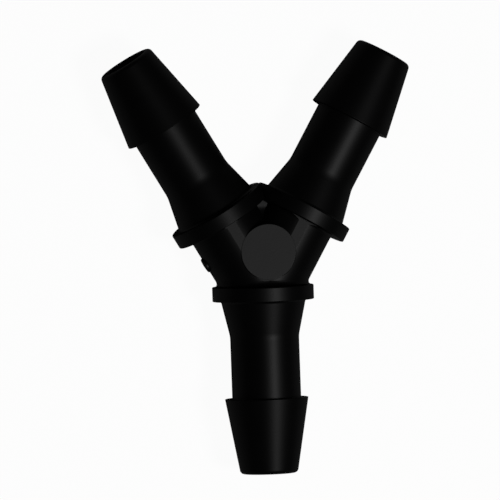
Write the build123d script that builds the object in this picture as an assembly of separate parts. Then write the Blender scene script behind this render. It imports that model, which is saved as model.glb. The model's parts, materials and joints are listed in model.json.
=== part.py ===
from build123d import *
import os
from math import cos, radians, tan

# A one-piece moulded Y connector for flexible tubing. Three equal barbed stubs leave a
# round hub: the stem runs along -Y, and the two arms lean to either side of +Y.
# The three axes lie in one level plane and meet at the junction. The hub's pad faces +Z.
# The finished part lies on its three collars, with the origin under the middle of its outline.
# All sizes are in millimetres.

# Stub: the part that the tubing is pushed over
bore_diameter = 6.0
neck_diameter = 9.5
neck_length = 7.4
barb_diameter = 11.5
barb_length = 10.4
nose_diameter = 7.9          # the barb's cone at its end face, before the edge is rounded
nose_radius = 0.6
mouth_chamfer = 0.2

# Collar: the stop for the tubing's end, with a flare between it and the neck
collar_diameter = 14.0
collar_thickness = 2.0
flare_diameter = 11.7        # where the flare leaves the collar
flare_length = 6.1
edge_bevel = 0.12            # on the outer edges of the collars and the pad

# Hub: two round branches that merge at the junction
arm_angle = 30.0             # between each arm and the stem's line
hub_diameter = 10.4
arm_reach = 10.5             # from the junction to the near face of an arm's collar
stem_overlap = 0.05          # how far the stem's collar rises past the junction
root_bevel = 0.3             # slope in the corner where the hub meets a collar

# Web that closes the crotch between the branches, up to the collars
web_thickness = 3.0
web_height = 13.6            # from the junction

# Round pad on the hub's front, and the stump of the moulding gate on the left branch
pad_diameter = 7.8
pad_rise = 0.1               # above the crest of the hub
pad_offset = 4.9             # from the junction towards the crotch
gate_diameter = 2.1
gate_rise = 0.2              # above the branch's skin
gate_reach = 6.7             # from the junction, along the branch

bore_radius = bore_diameter / 2
neck_radius = neck_diameter / 2
barb_radius = barb_diameter / 2
nose_end_radius = nose_diameter / 2
collar_radius = collar_diameter / 2
flare_radius = flare_diameter / 2
hub_radius = hub_diameter / 2

# Distances along a stub, from the near face of its collar
flare_start = collar_thickness
neck_start = flare_start + flare_length
shoulder = neck_start + neck_length
stub_length = shoulder + barb_length

# A stub turned about +Y is laid along its own axis
stem_reach = -stem_overlap
to_stem = Rotation(0, 0, 180)
to_right_arm = Rotation(0, 0, -arm_angle)
to_left_arm = Rotation(0, 0, arm_angle)


def vertices_at(profile, *points):
    return [profile.vertices().sort_by_distance(point)[0] for point in points]


def stub(reach):
    # Collar, flare, neck and barb, turned about +Y, with the collar's near face at reach
    collar = Polyline(
        (0, reach),
        (collar_radius, reach),
        (collar_radius, reach + flare_start),
        (flare_radius, reach + flare_start),
    )
    flare = TangentArc(
        (neck_radius, reach + neck_start),
        (flare_radius, reach + flare_start),
        tangent=(0, -1),
    )
    barb = Polyline(
        (neck_radius, reach + neck_start),
        (neck_radius, reach + shoulder),
        (barb_radius, reach + shoulder),
        (nose_end_radius, reach + stub_length),
        (0, reach + stub_length),
        (0, reach),
    )
    profile = make_face(collar + flare + barb)
    rims = vertices_at(profile, (collar_radius, reach), (collar_radius, reach + flare_start))
    profile = chamfer(rims, edge_bevel)
    nose = vertices_at(profile, (nose_end_radius, reach + stub_length))
    profile = fillet(nose, nose_radius)
    return revolve(profile, Axis.Y)


def branch():
    # A limb of the hub, turned about +Y, that slopes out into its arm's collar
    seat = arm_reach + collar_thickness / 2
    foot_radius = hub_radius + root_bevel
    profile = make_face(
        Polyline(
            (0, 0),
            (hub_radius, 0),
            (hub_radius, arm_reach - root_bevel),
            (foot_radius, arm_reach),
            (foot_radius, seat),
            (0, seat),
            close=True,
        )
    )
    return revolve(profile, Axis.Y)


def hub():
    # Both branches, cut off level inside the stem's collar
    branches = to_right_arm * branch() + to_left_arm * branch()
    side = 2 * collar_diameter
    level = stem_overlap - collar_thickness / 2
    return branches - Pos(0, level - side / 2, 0) * Box(side, side, side)


def slope_stem_foot(solid):
    # Bevel the level corner where the branches run into the stem's collar
    ledge = collar_radius - edge_bevel - hub_radius / cos(radians(arm_angle))
    rings = solid.edges().filter_by(GeomType.ELLIPSE)
    foot = rings.filter_by(lambda edge: edge.bounding_box().size.Y < 0.001)
    return chamfer(foot, min(root_bevel, ledge / 2))


def web():
    # A flat plate whose side corners lie on the axes of the two branches
    half_width = web_height * tan(radians(arm_angle))
    outline = Polyline((0, 0), (half_width, web_height), (-half_width, web_height), close=True)
    return extrude(make_face(outline), amount=web_thickness / 2, both=True)


def pad():
    # A disc that stands on the middle plane and ends just above the hub's crest
    height = hub_radius + pad_rise
    disc = Pos(0, pad_offset, height / 2) * Cylinder(pad_diameter / 2, height)
    rim = disc.edges().filter_by(GeomType.CIRCLE).sort_by(Axis.Z)[-1]
    return chamfer(rim, edge_bevel)


def gate():
    # A short peg that stands out sideways from the left branch's outer skin
    height = hub_radius + gate_rise
    peg = Rotation(0, 90, 0) * Cylinder(gate_diameter / 2, height)
    return to_left_arm * Pos(-height / 2, gate_reach, 0) * peg


def core(reach):
    # The bore of one stub, from the junction out through its chamfered mouth
    mouth = reach + stub_length
    mouth_radius = bore_radius + mouth_chamfer
    profile = make_face(
        Polyline(
            (0, 0),
            (bore_radius, 0),
            (bore_radius, mouth - mouth_chamfer),
            (mouth_radius, mouth),
            (mouth_radius, mouth + mouth_chamfer),
            (0, mouth + mouth_chamfer),
            close=True,
        )
    )
    return revolve(profile, Axis.Y)


def connector():
    body = slope_stem_foot(to_stem * stub(stem_reach) + hub())
    body += to_right_arm * stub(arm_reach)
    body += to_left_arm * stub(arm_reach)
    body += web() + pad() + gate()
    body -= to_stem * core(stem_reach)
    body -= to_right_arm * core(arm_reach)
    body -= to_left_arm * core(arm_reach)
    return body - Sphere(bore_radius)


def laid_down(solid):
    # Moved so that the origin is under the middle of the part, on the surface it lies on
    outline = solid.bounding_box()
    return Pos(-outline.center().X, -outline.center().Y, -outline.min.Z) * solid


os.makedirs("parts", exist_ok=True)
export_step(laid_down(connector()), "parts/connector_body.step")
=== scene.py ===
import bpy
import json
from math import acos, atan2, cos, pi, radians, sin, tan
from mathutils import Euler, Matrix, Vector


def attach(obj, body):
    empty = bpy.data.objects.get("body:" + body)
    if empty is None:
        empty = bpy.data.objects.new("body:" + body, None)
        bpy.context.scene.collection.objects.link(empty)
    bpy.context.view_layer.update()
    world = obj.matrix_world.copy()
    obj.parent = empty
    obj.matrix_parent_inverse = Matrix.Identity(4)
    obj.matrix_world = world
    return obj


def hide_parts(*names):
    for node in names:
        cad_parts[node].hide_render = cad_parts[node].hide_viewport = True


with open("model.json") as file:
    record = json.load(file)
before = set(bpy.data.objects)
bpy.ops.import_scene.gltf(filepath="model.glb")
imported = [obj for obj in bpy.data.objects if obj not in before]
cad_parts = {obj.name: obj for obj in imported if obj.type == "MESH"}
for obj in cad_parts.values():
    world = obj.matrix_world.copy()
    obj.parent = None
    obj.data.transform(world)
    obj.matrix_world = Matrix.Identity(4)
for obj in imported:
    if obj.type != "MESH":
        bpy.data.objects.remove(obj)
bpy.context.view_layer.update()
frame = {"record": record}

millimetre = 0.001

# Where the three bores meet, from the record's mounts
mounts = {mount["name"]: mount for mount in frame["record"]["mounts"]}
rightBore = mounts["right_bore"]
halfLength = rightBore["dims"]["length_mm"] * millimetre / 2
junction = Vector(rightBore["pos_m"]) - Vector(rightBore["axis"]) * halfLength

view = {
    "yaw": radians(10.83),
    "pitch": radians(2.34),
    "roll": radians(2.02),
    "distance": 1.914,
    "lens": 1000.0,
    "sensor": 36.0,
    "framePixels": 500,
    "junctionPixel": (262.78, 286.03),
    "clip": (0.01, 20.0),
}


def placeCamera(at):
    # Puts the junction on its pixel, and returns the camera's own three directions
    pixel = at["distance"] * at["sensor"] / at["lens"] / at["framePixels"]
    turn = Euler((-at["pitch"], -at["yaw"], -at["roll"]), "ZXY").to_matrix()
    right, up, back = turn.col
    across, down = at["junctionPixel"]
    centre = at["framePixels"] / 2
    aim = junction + (right * (centre - across) + up * (down - centre)) * pixel
    camera = bpy.data.objects.new("camera", bpy.data.cameras.new("camera"))
    camera.data.lens = at["lens"]
    camera.data.sensor_width = at["sensor"]
    camera.data.clip_start, camera.data.clip_end = at["clip"]
    camera.matrix_world = turn.to_4x4()
    camera.location = aim + back * at["distance"]
    bpy.context.scene.collection.objects.link(camera)
    bpy.context.scene.camera = camera
    return right, up, back


right, up, back = placeCamera(view)
print("camera placed")

studio = {
    "keyTurn": radians(29.5),        # to the right of the camera
    "keyDrop": radians(11.6),        # and below it
    "keyDistance": 0.6,
    "keySize": 0.16,
    "keyPower": 3.5,
    "ambient": 0.06,
    "floorColour": (0.5, 0.5, 0.5, 1),
    "floorRoughness": 0.9,
    "floorSize": 3.0,
    "floorGlow": 0.96,
}


def addKey(at):
    # A round softbox
    data = bpy.data.lights.new("key", "AREA")
    data.shape = "DISK"
    data.size = at["keySize"]
    data.energy = at["keyPower"]
    light = bpy.data.objects.new("key", data)
    level = back * cos(at["keyTurn"]) + right * sin(at["keyTurn"])
    toLight = level * cos(at["keyDrop"]) - up * sin(at["keyDrop"])
    light.location = junction + toLight * at["keyDistance"]
    light.rotation_euler = toLight.to_track_quat("Z", "Y").to_euler()
    bpy.context.scene.collection.objects.link(light)


def setWorld(at):
    # White to the camera, and dim to everything that it lights
    world = bpy.data.worlds.new("studio")
    bpy.context.scene.world = world
    world.use_nodes = True
    tree = world.node_tree
    background = tree.nodes["Background"]
    path = tree.nodes.new("ShaderNodeLightPath")
    mix = tree.nodes.new("ShaderNodeMix")
    mix.data_type = "FLOAT"
    mix.inputs["A"].default_value = at["ambient"]
    mix.inputs["B"].default_value = 1.0
    tree.links.new(path.outputs["Is Camera Ray"], mix.inputs["Factor"])
    tree.links.new(mix.outputs["Result"], background.inputs["Strength"])
    background.inputs["Color"].default_value = (1, 1, 1, 1)


def addFloor(at):
    # A matte floor that glows to the camera only, so that its shadow stays faint
    mesh = bpy.data.meshes.new("floor")
    half = at["floorSize"] / 2
    corners = [(-half, -half, 0), (half, -half, 0), (half, half, 0), (-half, half, 0)]
    mesh.from_pydata(corners, [], [(0, 1, 2, 3)])
    floor = bpy.data.objects.new("floor", mesh)
    bpy.context.scene.collection.objects.link(floor)
    material = bpy.data.materials.new("pale_floor")
    material.use_nodes = True
    tree = material.node_tree
    matte = tree.nodes["Principled BSDF"]
    matte.inputs["Base Color"].default_value = at["floorColour"]
    matte.inputs["Roughness"].default_value = at["floorRoughness"]
    matte.inputs["Specular IOR Level"].default_value = 0.0
    glow = tree.nodes.new("ShaderNodeEmission")
    path = tree.nodes.new("ShaderNodeLightPath")
    share = tree.nodes.new("ShaderNodeMath")
    share.operation = "MULTIPLY"
    share.inputs[1].default_value = at["floorGlow"]
    mix = tree.nodes.new("ShaderNodeMixShader")
    tree.links.new(path.outputs["Is Camera Ray"], share.inputs[0])
    tree.links.new(share.outputs[0], mix.inputs[0])
    tree.links.new(matte.outputs[0], mix.inputs[1])
    tree.links.new(glow.outputs[0], mix.inputs[2])
    tree.links.new(mix.outputs[0], tree.nodes["Material Output"].inputs["Surface"])
    mesh.materials.append(material)


addKey(studio)
setWorld(studio)
addFloor(studio)
bpy.context.scene.view_settings.view_transform = "Standard"
print("studio lit")

nylon = {
    "dark": (0.0004, 0.0004, 0.00042, 1),
    "light": (0.0009, 0.0009, 0.00093, 1),
    "flowSize": 9.0,             # millimetres, as the lengths below
    "flowDetail": 3.0,
    "flowTwist": 1.5,
    "roughness": 0.5,
    "skinGloss": 0.092,
    "skinRoughness": 0.414,
    "grainSize": 0.22,
    "grainDepth": 0.004,
}


def blackNylon(at):
    # The gloss is the moulded skin's, as a coat, so that the rims stay dark
    material = bpy.data.materials.new("black_nylon")
    material.use_nodes = True
    tree = material.node_tree
    shader = tree.nodes["Principled BSDF"]
    shader.inputs["Roughness"].default_value = at["roughness"]
    shader.inputs["Specular IOR Level"].default_value = 0.0
    shader.inputs["Coat Weight"].default_value = at["skinGloss"]
    shader.inputs["Coat Roughness"].default_value = at["skinRoughness"]
    place = tree.nodes.new("ShaderNodeTexCoord")
    flow = tree.nodes.new("ShaderNodeTexNoise")
    flow.inputs["Scale"].default_value = 1 / (at["flowSize"] * millimetre)
    flow.inputs["Detail"].default_value = at["flowDetail"]
    flow.inputs["Distortion"].default_value = at["flowTwist"]
    tint = tree.nodes.new("ShaderNodeValToRGB")
    tint.color_ramp.elements[0].color = at["dark"]
    tint.color_ramp.elements[1].color = at["light"]
    grain = tree.nodes.new("ShaderNodeTexNoise")
    grain.inputs["Scale"].default_value = 1 / (at["grainSize"] * millimetre)
    relief = tree.nodes.new("ShaderNodeBump")
    relief.inputs["Distance"].default_value = at["grainDepth"] * millimetre
    tree.links.new(place.outputs["Object"], flow.inputs["Vector"])
    tree.links.new(flow.outputs["Fac"], tint.inputs["Fac"])
    tree.links.new(tint.outputs["Color"], shader.inputs["Base Color"])
    tree.links.new(place.outputs["Object"], grain.inputs["Vector"])
    tree.links.new(grain.outputs["Fac"], relief.inputs["Height"])
    tree.links.new(relief.outputs["Normal"], shader.inputs["Normal"])
    tree.links.new(relief.outputs["Normal"], shader.inputs["Coat Normal"])
    return material


# The connector's sizes in millimetres, with each radius about the stub's own axis
body = {
    "boreRadius": 3.0,
    "ballSteps": 12,             # from the pole to the rim of the round end of a bore
    "neckRadius": 4.75,
    "neckLength": 7.4,
    "barbRadius": 5.75,
    "barbLength": 10.4,
    "noseRadius": 3.95,
    "noseRound": 0.6,
    "shoulderRound": 0.06,
    "mouthRound": 0.2,
    "collarRadius": 7.0,
    "collarThickness": 2.0,
    "rimRound": 0.12,
    "sectionHold": 0.03,         # how far on either side of a round the section stays straight
    "roundSteps": 5,
    "flareRadius": 5.85,
    "flareLength": 6.1,
    "flareCone": 4.9,            # the flare's straight part, up to the neck
    "flareRound": 4.5,
    "flareRoot": 0.38,
    "rootRound": 0.12,
    "armAngle": 30.0,
    "armReach": 10.5,
    "stemOverlap": 0.05,
    "hubRadius": 5.2,
    "hubRoot": 0.45,
    "coveLip": 0.1,              # how far a cove's end goes past the cove
    "coveOverlap": 0.01,         # how far it is set into the collar
    "coveSteps": 8,
    "footCove": 0.82,
    "footSeat": 0.15,            # how deep a foot is set into the stem's collar
    "hubFlat": 5.15,             # the hub's front is level with the pad
    "webThickness": 3.0,
    "webHeight": 13.6,
    "webFoot": 8.9,
    "webSide": 2.4,              # half its width, inside the collars
    "webPlain": 0.3,             # how far past the arms' collars its faces round up no more
    "webGrid": (120, 60),
    "crotchRound": 2.0,
    "crotchEnd": 11.1,           # where the round up to the hub ends, from the junction
    "crotchCove": 0.2,
    "padRadius": 3.9,
    "padRise": 0.01,
    "padRound": 0.12,
    "padOffset": 4.9,
    "gateRadius": 1.05,
    "gateRise": 0.2,
    "gateRound": 0.06,
    "gateReach": 6.7,
    "turnSteps": 192,
    "sharpAngle": radians(24),
    "mergeDistance": 0.001,
}


def rounded(at, corners):
    # Corners of a half section, each (radius, along, round), with an arc where round isn't 0.
    # A held point on either side of an arc keeps the shading of the flat next to it flat.
    steps, hold = at["roundSteps"], at["sectionHold"]
    points = []
    for place, (radius, along, roundness) in enumerate(corners):
        corner = Vector((radius, along))
        if not roundness:
            points.append(corner)
            continue
        before = (Vector(corners[place - 1][:2]) - corner).normalized()
        after = (Vector(corners[place + 1][:2]) - corner).normalized()
        half = acos(max(-1, min(1, before.dot(after)))) / 2
        centre = corner + (before + after).normalized() * roundness / sin(half)
        reach = roundness / tan(half)
        start = corner + before * reach - centre
        end = corner + after * reach - centre
        points.append(corner + before * (reach + hold))
        first = atan2(start.y, start.x)
        sweep = (atan2(end.y, end.x) - first + pi) % (2 * pi) - pi
        for step in range(steps + 1):
            angle = first + sweep * step / steps
            points.append(centre + Vector((cos(angle), sin(angle))) * roundness)
        points.append(corner + after * (reach + hold))
    return points


def stubSection(at):
    top = at["collarThickness"]
    shoulder = top + at["flareLength"] + at["neckLength"]
    nose = shoulder + at["barbLength"]
    corners = [
        (0, 0, 0),
        (at["collarRadius"], 0, at["rimRound"]),
        (at["collarRadius"], top, at["rimRound"]),
        (at["flareRadius"], top, at["flareRoot"]),
        (at["neckRadius"], top + at["flareCone"], at["flareRound"]),
        (at["neckRadius"], shoulder, at["rootRound"]),
        (at["barbRadius"], shoulder, at["shoulderRound"]),
        (at["noseRadius"], nose, at["noseRound"]),
        (0, nose, 0),
    ]
    return rounded(at, corners)


def branchSection(at):
    # The cove at its end is set a little into the arm's collar
    root = at["hubRadius"] + at["hubRoot"] + at["coveLip"]
    reach = at["armReach"] + at["coveOverlap"]
    seat = at["armReach"] + at["collarThickness"] / 2
    return rounded(at, [
        (0, 0, 0),
        (at["hubRadius"], 0, 0),
        (at["hubRadius"], reach, at["hubRoot"]),
        (root, reach, 0),
        (root, seat, 0),
        (0, seat, 0),
    ])


def boreSection(at, mouth):
    # A round end at the junction, then straight out through the softened mouth
    radius, lip = at["boreRadius"], at["mouthRound"]
    points = []
    for step in range(at["ballSteps"]):
        angle = step * pi / 2 / at["ballSteps"]
        points.append(Vector((radius * sin(angle), -radius * cos(angle))))
    points += [Vector((radius, 0)), Vector((radius, mouth - lip))]
    for step in range(1, at["roundSteps"] + 1):
        angle = step * pi / 2 / at["roundSteps"]
        points.append(Vector((radius + lip * (1 - cos(angle)), mouth - lip * (1 - sin(angle)))))
    return points + [Vector((radius + lip, mouth + lip)), Vector((0, mouth + lip))]


def discSection(at, radius, top, edge):
    return rounded(at, [(0, 0, 0), (radius, 0, 0), (radius, top, edge), (0, top, 0)])


def padSection(at):
    top = at["hubFlat"] + at["padRise"]
    return discSection(at, at["padRadius"], top, at["padRound"])


def gateSection(at):
    top = at["hubRadius"] + at["gateRise"]
    return discSection(at, at["gateRadius"], top, at["gateRound"])


def guideObject(name, points, edges, faces):
    # An object that the node tree reads and that is removed after it
    mesh = bpy.data.meshes.new(name)
    mesh.from_pydata([[value * millimetre for value in point] for point in points], edges, faces)
    guide = bpy.data.objects.new(name, mesh)
    bpy.context.scene.collection.objects.link(guide)
    return guide


def sectionObject(name, points):
    edges = [(point, point + 1) for point in range(len(points) - 1)]
    return guideObject(name, [(point.x, point.y, 0) for point in points], edges, [])


def meshObject(name, points, faces):
    return guideObject(name, points, [], faces)


def ringFaces(rings, steps, flipped=False):
    # The skin of a stack of rings, and its two ends
    faces = [tuple(range(steps)), tuple(reversed(range((rings - 1) * steps, rings * steps)))]
    for ring in range(rings - 1):
        for step in range(steps):
            after = (step + 1) % steps
            low, high = ring * steps, (ring + 1) * steps
            faces.append((low + step, high + step, high + after, low + after))
    return [tuple(reversed(face)) for face in faces] if flipped else faces


def footObject(at, side):
    # A cove where one branch runs into the stem's collar, as a stack of ellipses
    slant = radians(at["armAngle"])
    cove = at["footCove"]
    base = at["stemOverlap"] + at["coveOverlap"]
    levels = [(-at["footSeat"], cove), (base, cove)]
    for step in range(1, at["coveSteps"] + 1):
        angle = pi / 2 * (1 - step / at["coveSteps"])
        levels.append((base + cove * (1 - sin(angle)), cove * (1 - cos(angle))))
    levels.append((at["stemOverlap"] + cove + at["coveLip"], -at["sectionHold"]))
    steps = at["turnSteps"]
    points = []
    for level, spread in levels:
        middle = side * level * tan(slant)
        wide, deep = at["hubRadius"] / cos(slant) + spread, at["hubRadius"] + spread
        for step in range(steps):
            angle = 2 * pi * step / steps
            points.append((middle + wide * cos(angle), level, deep * sin(angle)))
    return meshObject("foot", points, ringFaces(len(levels), steps))


def crotchHeight(at, x, y):
    # The web's face, which rounds up to the hub and a little to both collars
    slant = radians(at["armAngle"])
    height = at["webThickness"] / 2
    if abs(x) * sin(slant) + y * cos(slant) > at["armReach"] + at["webPlain"]:
        return height
    height += max(at["crotchEnd"] - y, 0) ** 2 / (2 * at["crotchRound"])
    for side in (-1, 1):
        gap = at["armReach"] - (side * x * sin(slant) + y * cos(slant))
        inside = min(max(at["crotchCove"] - gap, 0), at["crotchCove"])
        height += at["crotchCove"] - (at["crotchCove"] ** 2 - inside ** 2) ** 0.5
    return height


def webObject(at):
    # The plate between the branches, as one grid on each face
    columns, rows = at["webGrid"]
    low, high = at["webFoot"], at["webHeight"]
    points = []
    for front in (1, -1):
        for row in range(rows + 1):
            y = low + (high - low) * row / rows
            half = min(y * tan(radians(at["armAngle"])), at["webSide"])
            for column in range(columns + 1):
                x = half * (2 * column / columns - 1)
                points.append((x, y, front * crotchHeight(at, x, y)))
    wide = columns + 1
    back = wide * (rows + 1)
    faces = []
    for row in range(rows):
        for column in range(columns):
            a = row * wide + column
            faces.append((a, a + 1, a + wide + 1, a + wide))
            faces.append((back + a + wide, back + a + wide + 1, back + a + 1, back + a))
    rim = list(range(wide)) + [row * wide + columns for row in range(1, rows + 1)]
    rim += [rows * wide + column for column in range(columns - 1, -1, -1)]
    rim += [row * wide for row in range(rows - 1, 0, -1)]
    for a, b in zip(rim, rim[1:] + rim[:1]):
        faces.append((b, a, back + a, back + b))
    return meshObject("web", points, faces)


def slabObject(at):
    # What is taken off the hub's front, down to the pad: straight above its middle, round below
    steps = at["turnSteps"] // 2
    side, top, middle = 2 * at["padRadius"], at["webHeight"], at["padOffset"]
    outline = [(side, middle), (side, top), (-side, top), (-side, middle)]
    for step in range(steps + 1):
        angle = pi + pi * step / steps
        outline.append((at["padRadius"] * cos(angle), middle + at["padRadius"] * sin(angle)))
    low, high = at["hubFlat"], at["collarRadius"]
    points = [(x, y, z) for z in (low, high) for x, y in outline]
    return meshObject("slab", points, ringFaces(2, len(outline), flipped=True))


def addInputs(tree, names):
    for name, kind in names:
        tree.interface.new_socket(name, in_out="INPUT", socket_type="NodeSocket" + kind)
    tree.interface.new_socket("Geometry", in_out="OUTPUT", socket_type="NodeSocketGeometry")


def bodyTree():
    tree = bpy.data.node_groups.new("moulded_connector", "GeometryNodeTree")
    addInputs(tree, [
        ("Stub Section", "Object"),
        ("Branch Section", "Object"),
        ("Stem Bore Section", "Object"),
        ("Arm Bore Section", "Object"),
        ("Pad Section", "Object"),
        ("Gate Section", "Object"),
        ("Web", "Object"),
        ("Right Foot", "Object"),
        ("Left Foot", "Object"),
        ("Front Slab", "Object"),
        ("Arm Angle", "Float"),
        ("Arm Reach", "Float"),
        ("Stem Overlap", "Float"),
        ("Pad Offset", "Float"),
        ("Gate Reach", "Float"),
        ("Turn Steps", "Int"),
        ("Sharp Angle", "Float"),
        ("Merge Distance", "Float"),
        ("Material", "Material"),
    ])
    nodes, links = tree.nodes, tree.links
    given = nodes.new("NodeGroupInput").outputs

    def node(kind, **settings):
        made = nodes.new("GeometryNode" + kind)
        for name, value in settings.items():
            setattr(made, name, value)
        return made

    def solid(name):
        info = node("ObjectInfo")
        links.new(given[name], info.inputs["Object"])
        return info.outputs["Geometry"]

    def negative(value):
        flip = nodes.new("ShaderNodeMath")
        flip.operation = "MULTIPLY"
        flip.inputs[1].default_value = -1
        links.new(value, flip.inputs[0])
        return flip.outputs[0]

    def moved(geometry, socket, axis, value):
        # One step of a placing: a shift or a turn along one axis
        vector = nodes.new("ShaderNodeCombineXYZ")
        shift = node("Transform")
        links.new(value, vector.inputs[axis])
        links.new(vector.outputs[0], shift.inputs[socket])
        links.new(geometry, shift.inputs["Geometry"])
        return shift.outputs["Geometry"]

    def merged(geometry):
        # Closes the poles of a turned solid, and takes out the slivers of a cut
        merge = node("MergeByDistance")
        links.new(geometry, merge.inputs["Geometry"])
        links.new(given["Merge Distance"], merge.inputs["Distance"])
        return merge.outputs["Geometry"]

    def turned(name, ringRadius=millimetre):
        # The section is swept around a small ring, whose own radius is taken off it first
        inset = node("Transform")
        inset.inputs["Translation"].default_value = (-ringRadius, 0, 0)
        curve = node("MeshToCurve")
        ring = node("CurvePrimitiveCircle")
        ring.inputs["Radius"].default_value = ringRadius
        sweep = node("CurveToMesh")
        upright = node("Transform")
        upright.inputs["Rotation"].default_value = (pi / 2, 0, 0)
        links.new(solid(name), inset.inputs["Geometry"])
        links.new(inset.outputs["Geometry"], curve.inputs["Mesh"])
        links.new(given["Turn Steps"], ring.inputs["Resolution"])
        links.new(ring.outputs["Curve"], sweep.inputs["Curve"])
        links.new(curve.outputs["Curve"], sweep.inputs["Profile Curve"])
        links.new(sweep.outputs["Mesh"], upright.inputs["Geometry"])
        return merged(upright.outputs["Geometry"])

    def shaded(geometry):
        # Each solid keeps its own smooth normals while the solids are joined and cut
        smooth = node("SetShadeSmooth")
        corner = node("InputMeshEdgeAngle")
        steep = nodes.new("FunctionNodeCompare")
        steep.data_type = "FLOAT"
        steep.operation = "GREATER_THAN"
        sharp = node("SetShadeSmooth", domain="EDGE")
        sharp.inputs["Shade Smooth"].default_value = False
        normal = node("InputNormal")
        keep = node("StoreNamedAttribute", data_type="FLOAT_VECTOR", domain="CORNER")
        keep.inputs["Name"].default_value = "own_normal"
        links.new(geometry, smooth.inputs["Geometry"])
        links.new(corner.outputs["Unsigned Angle"], steep.inputs["A"])
        links.new(given["Sharp Angle"], steep.inputs["B"])
        links.new(smooth.outputs["Geometry"], sharp.inputs["Geometry"])
        links.new(steep.outputs["Result"], sharp.inputs["Selection"])
        links.new(sharp.outputs["Geometry"], keep.inputs["Geometry"])
        links.new(normal.outputs["Normal"], keep.inputs["Value"])
        return keep.outputs["Geometry"]

    def boolean(operation, first, others):
        join = node("MeshBoolean", operation=operation, solver="MANIFOLD")
        if first:
            links.new(first, join.inputs["Mesh 1"])
        for geometry in others:
            links.new(geometry, join.inputs["Mesh 2"])
        return join.outputs["Mesh"]

    rightTurn = negative(given["Arm Angle"])
    halfTurn = nodes.new("ShaderNodeValue")
    halfTurn.outputs[0].default_value = pi
    quarterTurn = nodes.new("ShaderNodeValue")
    quarterTurn.outputs[0].default_value = pi / 2
    stub = turned("Stub Section")
    branch = turned("Branch Section")
    armStub = moved(stub, "Translation", "Y", given["Arm Reach"])
    stemStub = moved(stub, "Translation", "Y", negative(given["Stem Overlap"]))
    armBore = turned("Arm Bore Section")
    stemBore = turned("Stem Bore Section")
    pad = moved(turned("Pad Section"), "Rotation", "X", quarterTurn.outputs[0])
    gate = moved(turned("Gate Section"), "Rotation", "Z", quarterTurn.outputs[0])
    gate = moved(gate, "Translation", "Y", given["Gate Reach"])
    hub = boolean("UNION", None, [
        shaded(moved(branch, "Rotation", "Z", given["Arm Angle"])),
        shaded(moved(branch, "Rotation", "Z", rightTurn)),
        shaded(solid("Right Foot")),
        shaded(solid("Left Foot")),
    ])
    outside = boolean("UNION", None, [
        boolean("DIFFERENCE", hub, [shaded(solid("Front Slab"))]),
        shaded(moved(armStub, "Rotation", "Z", given["Arm Angle"])),
        shaded(moved(armStub, "Rotation", "Z", rightTurn)),
        shaded(moved(stemStub, "Rotation", "Z", halfTurn.outputs[0])),
        shaded(solid("Web")),
        shaded(moved(pad, "Translation", "Y", given["Pad Offset"])),
        shaded(moved(gate, "Rotation", "Z", given["Arm Angle"])),
    ])
    bored = boolean("DIFFERENCE", outside, [
        shaded(moved(armBore, "Rotation", "Z", given["Arm Angle"])),
        shaded(moved(armBore, "Rotation", "Z", rightTurn)),
        shaded(moved(stemBore, "Rotation", "Z", halfTurn.outputs[0])),
    ])
    smooth = node("SetShadeSmooth")
    links.new(merged(bored), smooth.inputs["Geometry"])
    real = node("RealizeInstances")
    links.new(smooth.outputs["Geometry"], real.inputs["Geometry"])
    finish = node("SetMaterial")
    links.new(real.outputs["Geometry"], finish.inputs["Geometry"])
    links.new(given["Material"], finish.inputs["Material"])
    out = nodes.new("NodeGroupOutput")
    links.new(finish.outputs["Geometry"], out.inputs["Geometry"])
    return tree


def keepNormals(mesh):
    # Each corner takes its own solid's normal, turned round where that solid was cut away
    own = mesh.attributes["own_normal"].data
    normals = [Vector(value.vector) for value in own]
    for face in mesh.polygons:
        for corner in face.loop_indices:
            if normals[corner].dot(face.normal) < 0:
                normals[corner].negate()
    mesh.normals_split_custom_set(normals)
    mesh.attributes.remove(mesh.attributes["own_normal"])


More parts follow.
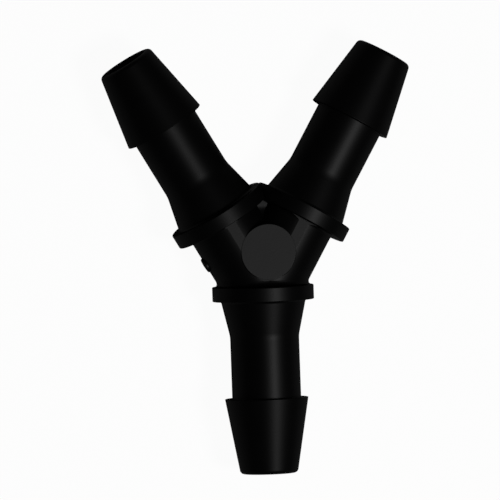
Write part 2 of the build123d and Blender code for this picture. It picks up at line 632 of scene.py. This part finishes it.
def buildBody(at, material):
    stubLength = at["collarThickness"] + at["flareLength"] + at["neckLength"] + at["barbLength"]
    stemMouth = stubLength - at["stemOverlap"]
    armMouth = stubLength + at["armReach"]
    values = {
        "Stub Section": sectionObject("stub_section", stubSection(at)),
        "Branch Section": sectionObject("branch_section", branchSection(at)),
        "Stem Bore Section": sectionObject("stem_bore_section", boreSection(at, stemMouth)),
        "Arm Bore Section": sectionObject("arm_bore_section", boreSection(at, armMouth)),
        "Pad Section": sectionObject("pad_section", padSection(at)),
        "Gate Section": sectionObject("gate_section", gateSection(at)),
        "Web": webObject(at),
        "Right Foot": footObject(at, 1),
        "Left Foot": footObject(at, -1),
        "Front Slab": slabObject(at),
        "Arm Angle": radians(at["armAngle"]),
        "Arm Reach": at["armReach"] * millimetre,
        "Stem Overlap": at["stemOverlap"] * millimetre,
        "Pad Offset": at["padOffset"] * millimetre,
        "Gate Reach": at["gateReach"] * millimetre,
        "Turn Steps": at["turnSteps"],
        "Sharp Angle": at["sharpAngle"],
        "Merge Distance": at["mergeDistance"] * millimetre,
        "Material": material,
    }
    carrier = bpy.data.objects.new("body_carrier", bpy.data.meshes.new("body_carrier"))
    bpy.context.scene.collection.objects.link(carrier)
    tree = bodyTree()
    modifier = carrier.modifiers.new("moulded_connector", "NODES")
    modifier.node_group = tree
    for socket in tree.interface.items_tree:
        if socket.in_out == "INPUT":
            modifier[socket.identifier] = values[socket.name]
    graph = bpy.context.evaluated_depsgraph_get()
    mesh = bpy.data.meshes.new_from_object(carrier.evaluated_get(graph))
    mesh.name = "connector"
    keepNormals(mesh)
    mesh.transform(Matrix.Translation(junction))
    piece = bpy.data.objects.new("connector", mesh)
    bpy.context.scene.collection.objects.link(piece)
    guides = [value for value in values.values() if isinstance(value, bpy.types.Object)]
    for guide in guides + [carrier]:
        bpy.data.meshes.remove(guide.data)
    return piece


connector = buildBody(body, blackNylon(nylon))
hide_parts("connector_body")
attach(connector, "root")
print("connector moulded:", len(connector.data.polygons), "faces")
